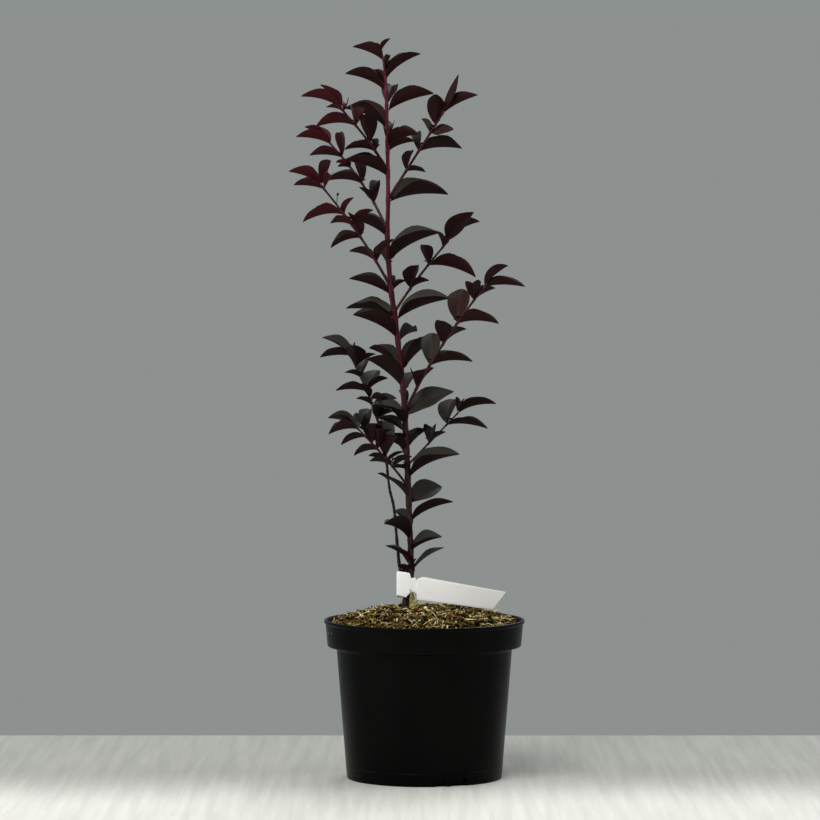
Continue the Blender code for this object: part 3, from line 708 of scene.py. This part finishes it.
def pot_profile():
    """The pot's section as (radius, height) points: up its inside, over the lip and down its outside."""
    quarter = np.linspace(0, pi / 2, 5)
    lip_foot = POT_HEIGHT - LIP_DEPTH
    band_end = BAND_FOOT + 1.5 * MM
    inside = [(FOOT_RADIUS - WALL - 6 * MM, FLOOR),
              (FOOT_RADIUS - WALL, FLOOR + 1 * MM),
              (BODY_TOP_RADIUS - WALL, BAND_FOOT + WALL),
              (BAND_FOOT_RADIUS - WALL, BAND_FOOT + WALL + 0.6 * MM),
              (BAND_TOP_RADIUS - WALL, POT_HEIGHT - 1 * MM),
              (BAND_TOP_RADIUS - WALL + 0.7 * MM, POT_HEIGHT)]
    lip = [(LIP_RADIUS - LIP_ROUND * (1 - sin(k)), POT_HEIGHT - LIP_ROUND * (1 - cos(k))) for k in quarter]
    band = [(LIP_RADIUS, lip_foot + LIP_ROUND),
            (LIP_RADIUS - 0.4 * MM, lip_foot + 0.4 * MM),
            (BAND_TOP_RADIUS, lip_foot),
            (BAND_TOP_RADIUS - 0.1 * MM, lip_foot - 1 * MM)]
    band += [(BAND_TOP_RADIUS + (BAND_FOOT_RADIUS - BAND_TOP_RADIUS) * k / 4,
              lip_foot + (band_end - lip_foot) * k / 4) for k in range(1, 5)]
    step = [(BAND_FOOT_RADIUS - 0.3 * MM, BAND_FOOT + 0.5 * MM),
            (BAND_FOOT_RADIUS - 1.2 * MM, BAND_FOOT),
            (BODY_TOP_RADIUS + 1.2 * MM, BODY_TOP + 1 * MM),
            (BODY_TOP_RADIUS + 0.2 * MM, BODY_TOP + 0.3 * MM)]
    body = [(body_radius(z * MM), z * MM) for z in (137, 125, 110, 90, 70, 50, 35, 22, 14.3)]
    ridge = [(body_radius(RIDGE_HEIGHT) + RIDGE * sin(k), RIDGE_HEIGHT + RIDGE * 1.4 * cos(k))
             for k in np.linspace(0, pi, 7)]
    foot = [(body_radius(z * MM), z * MM) for z in (12.7, 8.6, 8.2, 7.8, 7.4, 5, 3, 1.6)]
    heel = [(FOOT_RADIUS - HEEL_ROUND * (1 - cos(k)), HEEL_ROUND * (1 - sin(k))) for k in quarter[1:]]
    under = [(FOOT_RADIUS - 8 * MM, 0),
             (FOOT_RADIUS - 9 * MM, UNDER_RISE),
             (FOOT_RADIUS * 0.5, UNDER_RISE)]
    return np.array(inside + lip + band + step + body + ridge + foot + heel + under)


def body_radius(height):
    """The radius of the pot's tapering body at a height."""
    return FOOT_RADIUS + (BODY_TOP_RADIUS - FOOT_RADIUS) * height / BODY_TOP


def make_pot():
    """The pot is its section turned about +Z. At each slot its foot is pushed in, but for a rib across it."""
    profile = pot_profile()
    turns = np.arange(POT_SIDES) * 2 * pi / POT_SIDES
    radius = np.repeat(profile[:, :1], len(turns), 1)
    height = np.repeat(profile[:, 1:], len(turns), 1)
    centres = radians(FIRST_SLOT_BEARING) + np.arange(SLOTS) * 2 * pi / SLOTS
    along = ((turns[None] - centres[:, None] + pi) % (2 * pi) - pi) * FOOT_RADIUS
    open_slot = (abs(along) < SLOT_WIDTH / 2) & ((along < SLOT_RIB[0]) | (along > SLOT_RIB[1]))
    past_lip = np.arange(len(profile)) > profile[:, 1].argmax()
    foot = past_lip[:, None] & (radius > FOOT_RADIUS - 7 * MM) & (height < SLOT_HEIGHT + 0.2 * MM)
    radius = np.where(foot & open_slot.any(0)[None], radius - SLOT_DEPTH, radius)
    rings = np.stack([radius * np.cos(turns), radius * np.sin(turns), height], 2)
    heap = Heap()
    heap.add(*closed_sweep(rings, (0, 0, FLOOR), (0, 0, UNDER_RISE)))
    make_piece("nursery_pot", heap, pot_finish(), "pot", "pot")


def compost_height(radius):
    """The mound's height: level round the trunk, then falling to the edge as distance^1.6."""
    edge = BAND_FOOT_RADIUS - WALL
    out = np.clip((radius - COMPOST_FLAT_RADIUS) / (edge - COMPOST_FLAT_RADIUS), 0, 1)
    return COMPOST_CROWN - (COMPOST_CROWN - COMPOST_EDGE) * out ** 1.6


def lumps(places):
    """The compost's own relief in metres at (x, y) places: broad lumps and small crumbs."""
    broad, middling, fine = (waves(places, seed, size * MM) for seed, size in ((3, 26), (4, 9), (5, 3.5)))
    return (broad * 0.9 + middling * 0.8 + fine * 0.45) * MM


def make_compost_bed():
    """The compost's own body: a lumpy top on rings of growing radius, then the pot's inner wall and floor."""
    edge = BAND_TOP_RADIUS - WALL - 0.8 * MM
    radius = np.linspace(0.004, 1, 56) * edge
    turns = np.arange(BED_SIDES) * 2 * pi / BED_SIDES
    x, y = radius[:, None] * np.cos(turns), radius[:, None] * np.sin(turns)
    relief = lumps(np.stack([x, y], 2)) * (1 - (radius / edge) ** 8)[:, None]
    top = compost_height(radius)[:, None] + relief - 1.2 * MM
    floor = FLOOR + 0.5 * MM
    rings = [np.stack([x, y, top], 2)]
    for r, z in ((BAND_FOOT_RADIUS - WALL - 0.5 * MM, BAND_FOOT + WALL + 1 * MM),
                 (BODY_TOP_RADIUS - WALL - 0.5 * MM, BAND_FOOT + WALL),
                 (FOOT_RADIUS - WALL - 5 * MM, floor)):
        rings.append(np.stack([r * np.cos(turns), r * np.sin(turns), np.full(BED_SIDES, z)], 1)[None])
    heap = Heap()
    heap.add(*closed_sweep(np.concatenate(rings), (0, 0, top[0].mean()), (0, 0, floor)))
    finish = plain_finish("dark peat", (0.006, 0.004, 0.0025), (0.03, 0.018, 0.009), 260)
    make_piece("compost_bed", heap, finish, "compost", "compost")


def scatter(vary, count, margin):
    """Seeded (x, y, z) places spread evenly over the compost's surface, out to a margin from its edge."""
    radius = (BAND_TOP_RADIUS - WALL - margin) * np.sqrt(vary.uniform(0, 1, count))
    turn = vary.uniform(0, 2 * pi, count)
    places = np.stack([radius * np.cos(turn), radius * np.sin(turn)], 1)
    away = np.linalg.norm(places - TRUNK[0, :2], axis=1) > 8 * MM
    places, radius = places[away], radius[away]
    return np.column_stack([places, compost_height(radius) + lumps(places) - 1 * MM])


def make_fibres(name, seed, count, length, width, rise, finish):
    """Strands that lie on the compost, each a flat four-sided strip.

    A strand runs along p + heading u + rise (1 - u^2) + bend u^2, for u from -1 to 1. One that would pass
    through the pot's wall is drawn in to it.
    """
    rows, sides = 6, 4
    vary = np.random.default_rng(seed)
    start = scatter(vary, count, 7 * MM)
    count = len(start)
    u = np.linspace(-1, 1, rows)[None, :, None]
    turn = vary.uniform(0, 2 * pi, count)
    heading = np.stack([np.cos(turn), np.sin(turn), vary.normal(0, 0.22, count)], 1)[:, None]
    across = np.stack([-np.sin(turn), np.cos(turn), vary.normal(0, 0.5, count)], 1)[:, None]
    long = (vary.uniform(0.35, 1, count) ** 1.5 * length / 2)[:, None, None]
    bend = vary.normal(0, 0.35, count)[:, None, None] * long
    hump = vary.uniform(0, 1, count)[:, None, None] ** 2 * rise
    line = start[:, None] + heading * u * long + across * bend * u ** 2
    line[..., 2:] += hump * (1 - u ** 2) + 0.3 * MM
    distance = np.linalg.norm(line[..., :2], axis=2, keepdims=True)
    line[..., :2] *= np.minimum(1, (BAND_FOOT_RADIUS - WALL - 2 * MM) / distance)
    half = (vary.uniform(0.4, 1, count) * width / 2)[:, None, None] * (1.15 - u ** 2)
    thin = np.array((0, 0, 1.0)) * 0.4
    corners = np.stack([across * half, thin * half, -across * half, -thin * half], 2)
    points = (line[:, :, None] + corners).reshape(-1, 3)
    quads = closed_sweep(line[0, :, None] + corners[0], line[0, 0], line[0, -1])[1][0]
    ring = np.arange(sides)
    ends = np.array([ring[::-1], ring + (rows - 1) * sides])
    if quads[0][1] != sides:
        ends = ends[:, ::-1]
    quads = np.concatenate([quads, ends])
    faces = (quads[None] + (np.arange(count) * rows * sides)[:, None, None]).reshape(-1, sides)
    heap = Heap()
    heap.add(points, [faces])
    make_piece(name, heap, finish, "compost")


def make_chips(name, seed, count, size, finish):
    """Chips of bark and peat: boxes about three times as long as thick, with moved corners, each one turned."""
    vary = np.random.default_rng(seed)
    start = scatter(vary, count, 5 * MM)
    count = len(start)
    corner = np.array([(x, y, z) for z in (-1, 1) for y in (-1, 1) for x in (-1, 1)], float)
    sizes = vary.uniform(0.3, 1, count)[:, None, None] ** 1.6 * size / 2
    shape = corner * (1, 0.62, 0.34) + vary.normal(0, 0.2, (count, 8, 3)) * (1, 0.7, 0.5)
    axes = np.linalg.qr(np.eye(3) + vary.normal(0, 0.22, (count, 3, 3)))[0]
    axes *= np.sign(np.einsum("nii->ni", axes))[:, None]
    turn = vary.uniform(0, 2 * pi, count)
    spin = np.zeros((count, 3, 3))
    spin[:, 0, 0] = spin[:, 1, 1] = np.cos(turn)
    spin[:, 0, 1] = -np.sin(turn)
    spin[:, 1, 0] = np.sin(turn)
    spin[:, 2, 2] = 1
    points = start[:, None] + np.einsum("nij,nkj->nki", spin @ axes, shape * sizes)
    points[..., 2] += sizes[..., 0] * 0.25
    box = np.array([(0, 2, 3, 1), (4, 5, 7, 6), (0, 1, 5, 4), (2, 6, 7, 3), (0, 4, 6, 2), (1, 3, 7, 5)])
    faces = (box[None] + (np.arange(count) * len(corner))[:, None, None]).reshape(-1, 4)
    heap = Heap()
    heap.add(points.reshape(-1, 3), [faces])
    chips = make_piece(name, heap, finish, "compost")
    chips.data.shade_flat()


def make_compost():
    """The compost's body, and the strands, chips and crumbs that lie on it."""
    make_compost_bed()
    gold = plain_finish("golden fibre", (0.16, 0.11, 0.022), (0.45, 0.33, 0.10), 300)
    straw = plain_finish("pale straw", (0.46, 0.37, 0.18), (0.82, 0.71, 0.46), 300)
    brown = plain_finish("brown bark chip", (0.04, 0.018, 0.005), (0.17, 0.085, 0.024), 350)
    olive = plain_finish("olive peat", (0.04, 0.036, 0.006), (0.15, 0.13, 0.034), 350)
    # Black crumbs: the peat's own near-black, made darker still as painted shade for the deep hollows between
    # the strands
    black = plain_finish("black peat crumb with painted shade", (0.003, 0.0016, 0.0005), (0.014, 0.008, 0.0025), 350)
    make_fibres("compost_gold_fibres", 11, 1700, 20 * MM, 1.4 * MM, 4 * MM, gold)
    make_fibres("compost_straw_fibres", 12, 700, 26 * MM, 1.5 * MM, 4.6 * MM, straw)
    make_fibres("compost_olive_fibres", 13, 1500, 19 * MM, 1.6 * MM, 3.6 * MM, olive)
    make_chips("compost_bark_chips", 14, 1000, 9 * MM, brown)
    make_chips("compost_olive_crumbs", 15, 1200, 6 * MM, olive)
    make_chips("compost_black_crumbs_with_painted_shade", 16, 2400, 8 * MM, black)
    make_chips("compost_pale_chips", 17, 260, 5 * MM, straw)


def make_dry_blades():
    """Pale dry blades that stand against the trunk's foot, under the tag."""
    heap = Heap()
    for i, (x, y, leaf) in enumerate(DRY_BLADES):
        place = np.array((x, y)) * MM
        base = np.array((*place, compost_height(np.linalg.norm(place)) - 3 * MM))
        for shape in leaf_plates(base, leaf, f"dry {i}"):
            heap.add(*shape)
    finish = plain_finish("dry leaf base", (0.26, 0.21, 0.06), (0.55, 0.47, 0.22), 240)
    make_piece("dry_leaf_blades", heap, finish, "compost")


def make_trunk():
    """The trunk with its relief: four soft wings, lengthwise ridges, and a swelling at each leaf's node."""
    heights = [height for height, leaf in TRUNK_LEAVES] + [shoot.height for shoot in SHOOTS.values()]
    nodes = [on_trunk(height) for height in heights]

    def relief(line, a):
        twist = a[None] + line[:, 2:] * 9
        places = np.stack(np.broadcast_arrays(np.cos(a), np.sin(a), line[:, 2:] * 18), 2)
        return 0.035 * np.cos(4 * twist) + 0.03 * waves(places, 21, 1.2)

    radii = trunk_radius(TRUNK[:, 2]) + swelling(TRUNK, nodes, 0.45 * MM, 3 * MM)
    heap = Heap()
    heap.add(*tube(TRUNK, radii, 28, relief))
    make_piece("bark_trunk", heap, bark_finish(), "bark", "trunk")


class Foliage:
    """All that grows, gathered by kind: the faces of leaves by tone, their midribs, and shoots and twigs."""

    def __init__(self):
        self.blades = {(tone, face): Heap() for tone in LEAF_COLOURS for face in ("upper", "lower")}
        self.ribs = Heap()
        self.shoots = Heap()

    def leaf(self, tone, base, leaf, seed, **detail):
        upper, lower, rib = leaf_plates(base, leaf, seed, **detail)
        self.blades[tone, "upper"].add(*upper)
        self.blades[tone, "lower"].add(*lower)
        self.ribs.add(*rib)

    def bud(self, base, bearing, size):
        """A closed bud: a tube whose radius runs as sin(pi u)^0.7, leaning out from the limb."""
        u = np.linspace(0, 1, 7)[1:-1]
        line = arch(base, bearing, 0.8 * size, 1.5 * size, 0.1, u)
        self.shoots.add(*tube(line, 0.55 * size * np.sin(pi * u) ** 0.7, 7))

    def twig(self, tone, base, bearing, size, seed):
        """A fine twig in a leaf's axil: a pair of small leaves half way up, and two or three at its tip."""
        vary = Random(f"twig {seed}")
        way = bearing + vary.uniform(-50, 50)
        reach, lift = vary.uniform(2, 6) * size, vary.uniform(4, 8) * size
        line = arch(base, way, reach, lift, 0.12, np.linspace(0, 1, 7))
        self.shoots.add(*tube(line, np.linspace(0.5, 0.3, 7) * MM, 6))
        for spot, count in ((3, 2), (6, vary.randint(2, 3))):
            for k in range(count):
                turned = way + 90 + 180 * k + vary.uniform(-45, 45)
                leaf = Leaf(turned, vary.uniform(4, 8) * size / MM, vary.uniform(2, 6) * size / MM, 0, 35)
                self.leaf(tone, line[spot], leaf, f"twig {seed} {spot} {k}", rows=8, columns=4)

    def shoot(self, side, shoot, line, name, wood):
        """A shoot with swollen nodes, its leaves by its solid's rule and seeds, and twigs in their axils.

        The leaves on its older part are a tone older than those at its end.
        """
        tones = list(LEAF_COLOURS)
        tone = tones.index(TONES[side])
        older = min(tone + 1, len(tones) - 1)
        count = len(line) - 1
        radii = shoot.radius * MM * (1 - SHOOT_TAPER * np.linspace(0, 1, count + 1))
        nodes = [line[min(round(place * count), count)] for place, leaves in shoot.pairs]
        wood.add(*tube(line, radii + swelling(line, nodes, 0.35 * MM, 2.2 * MM), 10))
        for base, (place, leaves) in zip(nodes, shoot.pairs):
            own = tones[tone if place > OLDER_BELOW else older]
            for k, leaf in enumerate(leaves):
                self.leaf(own, base, leaf, f"{name} {place} {k}")
            if place < 0.9 and side != "tip":
                self.twig(own, base, shoot.bearing, TWIG_SIZE, f"{side} {place}")


def make_foliage():
    """Leaves, midribs and shoots, each kind joined into one piece. Leaves stay apart by tone and face."""
    green = Foliage()
    replaced = {tone: [] for tone in LEAF_COLOURS}
    t = np.linspace(0, 1, 101)
    for side, shoot in SHOOTS.items():
        line = shoot_line(on_trunk(shoot.height), shoot, t)
        green.shoot(side, shoot, line, f"leaves_{side}", green.shoots)
        replaced[TONES[side]].append(f"leaves_{side}")
    stem = smooth_line([(x * MM, y * MM, z * MM) for z, x, y in SECOND_LINE], 2 * MM)
    radii = np.linspace(SECOND_RADIUS_FOOT, SECOND_RADIUS_TOP, len(stem))
    bumps = 0.12 * MM * waves(stem, 22, 8 * MM)
    second = Heap()
    second.add(*tube(stem, radii + bumps, 12))
    for i, (height, leaf) in enumerate(SECOND_LEAVES):
        base = np.array([np.interp(height * MM, stem[:, 2], stem[:, k]) for k in range(3)])
        green.leaf("dark", base, leaf, f"second {i}")
        green.bud(base, leaf.bearing, BUD_SIZE)
    line = shoot_line(stem[-1], SECOND_END, t)
    green.shoot("second", SECOND_END, line, "leaves_second_stem", second)
    replaced["dark"].append("leaves_second_stem")
    line = shoot_line(TRUNK[-1], TIP, t)
    green.shoot("tip", TIP, line, "leaves_tip", green.shoots)
    replaced[TONES["tip"]].append("leaves_tip")
    for i, (height, leaf) in enumerate(FOOT_LEAVES):
        green.leaf("young", on_trunk(height), leaf, f"foot {i}")
    for i, (height, leaf) in enumerate(TRUNK_LEAVES + EXTRA_LEAVES):
        tone = "young" if height > YOUNG_ABOVE else "purple" if height > PURPLE_ABOVE else "dark"
        out = direction(leaf.bearing) * trunk_radius(height * MM)
        green.leaf(tone, on_trunk(height) + out * 0.3, leaf, f"trunk {i}")
        if height > YOUNG_ABOVE or i % 2:
            green.bud(on_trunk(height) + out * 0.6, leaf.bearing, BUD_SIZE)
        else:
            green.twig(tone, on_trunk(height) + out * 0.6, leaf.bearing, TWIG_SIZE, f"trunk {i}")
        if i < len(TRUNK_LEAVES):
            replaced[tone].append(f"trunk_leaf_{i + 1:02d}")
    side, place, rise, bearing, size = ROUND_BUD
    shoot = SHOOTS[side]
    base = shoot_line(on_trunk(shoot.height), shoot, [place])[0]
    line = arch(base, bearing, 1 * MM, rise, 0, np.linspace(0, 1, 7))
    green.shoots.add(*tube(line, np.full(7, 0.4 * MM), 6))
    green.bud(line[-1] - (0, 0, 1 * MM), bearing, size)
    crimson = shoot_finish("young crimson bark", (0.013, 0.0020, 0.0030), (0.056, 0.0045, 0.0110))
    make_piece("leafy_shoots", green.shoots, crimson, "young_bark", *(f"bough_{side}" for side in SHOOTS))
    brown = shoot_finish("dark brown bark", (0.007, 0.0035, 0.0028), (0.028, 0.0115, 0.0080))
    make_piece("second_stem_bark", second, brown, "young_bark", "second_stem")
    stalk = shoot_finish("leaf stalk", (0.032, 0.0038, 0.0055), (0.085, 0.0090, 0.0150))
    make_piece("leaf_stalks_and_midribs", green.ribs, stalk, "leaf")
    for (tone, face), heap in green.blades.items():
        # Upper faces take colours that are partly painted sheen; undersides keep the leaves' own colour
        colour = LEAF_COLOURS[tone][face == "lower"]
        roughness, vein_depth = (0.62, 0.9) if face == "lower" else (0.58, 0.4)
        finish = leaf_finish(f"{tone} leaf {face}", colour, roughness, vein_depth)
        make_piece(f"{tone}_leaves_{face}_face", heap, finish, "leaf", *replaced[tone])


def make_tag():
    """The tag: a strip on a smooth path through its rows, with straight edges between them."""
    axis = on_trunk(TAG_HEIGHT / MM)[0]
    table = np.array(TAG_STRIP, float)
    order = np.arange(len(table))
    rows = smooth_line(np.column_stack([table[:, :2], order]), 1.5)
    place = np.column_stack([axis + rows[:, 0] * MM, rows[:, 1] * MM, np.zeros(len(rows))])
    run = np.concatenate([[0], np.cumsum(np.linalg.norm(np.diff(place, axis=0), axis=1))])
    marks = np.interp(order, rows[:, 2], run)
    along = unit(np.gradient(place, axis=0))
    side = np.column_stack([along[:, 1], -along[:, 0], np.zeros(len(rows))]) * TAG_THICKNESS / 2
    levels = np.concatenate([[0, 0.01], np.linspace(0.1, 0.9, 7), [0.99, 1]])
    low, high = (np.interp(run, marks, table[:, k])[:, None] * MM for k in (2, 3))
    heights = low + (high - low) * levels
    half = np.where((levels == 0) | (levels == 1), 0.5, 1.0)
    up = np.array((0, 0, 1.0))
    front = place[:, None] + up * heights[..., None] + side[:, None] * half[None, :, None]
    rear = place[:, None] + up * heights[..., None] - side[:, None] * half[None, :, None]
    rings = np.concatenate([front, rear[:, ::-1]], 1)
    heap = Heap()
    heap.add(*closed_sweep(rings, rings[0].mean(0), rings[-1].mean(0)))
    make_piece("blank_tag", heap, tag_finish(), "tag", "plant_tag")


def make_stage():
    """A pale table top under the pot, plain but for a faint grain, and greyer towards its back edge by painted
    shade.
    """
    left, right, front, back = FLOOR_SIDES
    corners = [(left, front, 0), (right, front, 0), (right, back, 0), (left, back, 0)]
    mesh = bpy.data.meshes.new("floor")
    mesh.from_pydata(corners, [], [(0, 1, 2, 3)])
    floor = bpy.data.objects.new("floor", mesh)
    bpy.context.scene.collection.objects.link(floor)
    made = Finish("pale floor with painted shade", roughness=0.85, specular_ior_level=0.15)
    place = made.place()
    grain = made.noise(made.scaled(place, (90, 4, 4)), 1.0, detail=5).between(0.25, 0.75)
    near = made.mix(grain, (0.66, 0.66, 0.62), (0.78, 0.78, 0.735))
    # far: the same pale floor darkened by painted shade, standing in for light that falls off towards the back
    far = made.mix(grain, (0.33, 0.335, 0.315), (0.40, 0.405, 0.38))
    made.feed("Base Color", made.mix(made.parts_of(place)[1].between(-0.24, 0.06), near, far))
    floor.data.materials.append(made.material)


def make_light(name, place, aim, power, size, colour=(1, 1, 1)):
    """A rectangular light of a width and height, turned towards its aim."""
    lamp = bpy.data.lights.new(name, "AREA")
    lamp.shape = "RECTANGLE"
    lamp.size, lamp.size_y = size
    lamp.energy = power
    lamp.color = colour
    obj = bpy.data.objects.new(name, lamp)
    obj.location = place
    obj.rotation_euler = (Vector(aim) - Vector(place)).to_track_quat("-Z", "Y").to_euler()
    bpy.context.scene.collection.objects.link(obj)


def make_studio():
    """Even grey light from all round, a large soft light high in front, and others at the sides and behind."""
    world = bpy.data.worlds.new("soft studio")
    world.use_nodes = True
    world.node_tree.nodes["Background"].inputs["Color"].default_value = (0.266, 0.283, 0.279, 1)
    bpy.context.scene.world = world
    bpy.context.scene.view_settings.view_transform = "Standard"
    make_light("key", (-0.9, -2.2, 2.9), (0, 0, 0.4), 95, (1.8, 1.8), (1, 0.98, 0.95))
    make_light("left strip", (-2.3, -1.93, 0.6), (0, 0, 0.1), 11, (0.8, 1.6))
    make_light("left", (-2.4, 0.2, 1.4), (0, 0, 0.4), 14, (1.2, 1.2))
    make_light("right", (2.4, 0.2, 1.4), (0, 0, 0.4), 12, (1.2, 1.2))
    make_light("rear", (0.9, 2.2, 2.4), (0, 0, 0.5), 45, (1.6, 1.6))


def make_camera():
    """The camera at the photograph's viewing angle."""
    camera = bpy.data.cameras.new("camera")
    camera.angle = radians(CAMERA_ANGLE)
    obj = bpy.data.objects.new("camera", camera)
    obj.location = CAMERA_PLACE
    obj.rotation_euler = (Vector(CAMERA_AIM) - Vector(CAMERA_PLACE)).to_track_quat("-Z", "Y").to_euler()
    bpy.context.scene.collection.objects.link(obj)
    bpy.context.scene.camera = obj


TRUNK = trunk_line()
make_camera()
make_studio()
make_stage()
make_pot()
make_compost()
make_dry_blades()
make_trunk()
make_foliage()
make_tag()
